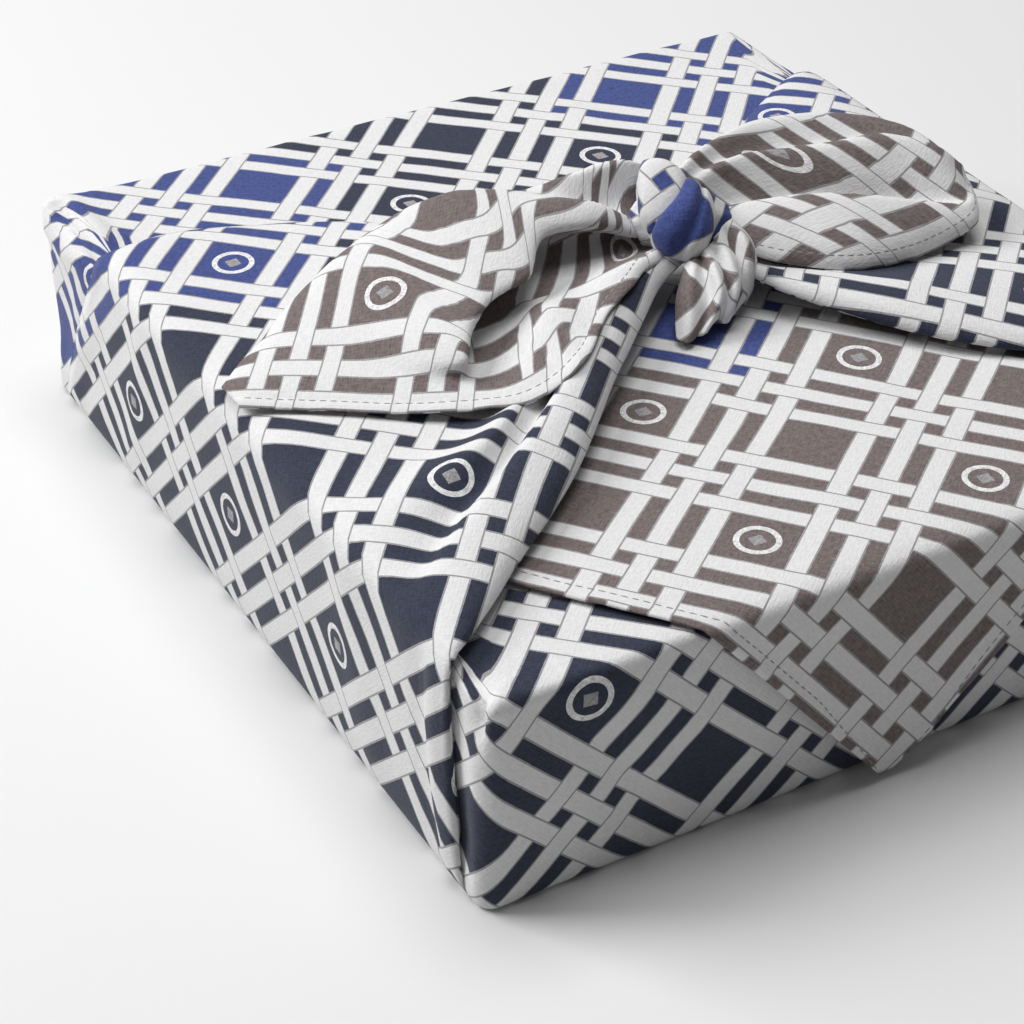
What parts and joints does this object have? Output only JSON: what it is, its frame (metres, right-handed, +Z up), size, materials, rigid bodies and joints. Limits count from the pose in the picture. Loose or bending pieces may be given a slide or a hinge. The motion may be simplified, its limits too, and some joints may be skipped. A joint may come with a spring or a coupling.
{
  "type": "furoshiki wrap on a gift box",
  "caption": "Square printed cotton cloth folded round a flat gift box and tied on top in a square knot, with two free ends and one corner hanging down the front.",
  "frame": {"origin": "middle of the flat underside of the wrapped box, where it rests", "axes": "+Z up; +Y along the long side of the box, away from the wall that the free corner hangs down; +X along the short side"},
  "size_m": [0.259, 0.2875, 0.1005],
  "materials": {
    "printed_cotton": "matt plain-weave cotton printed with an interlaced trellis in off-white, navy, royal blue and taupe",
    "board": "plain matt paperboard"
  },
  "bodies": {
    "root": {"furoshiki": "printed_cotton", "gift_box": "board"}
  },
  "joints": []
}
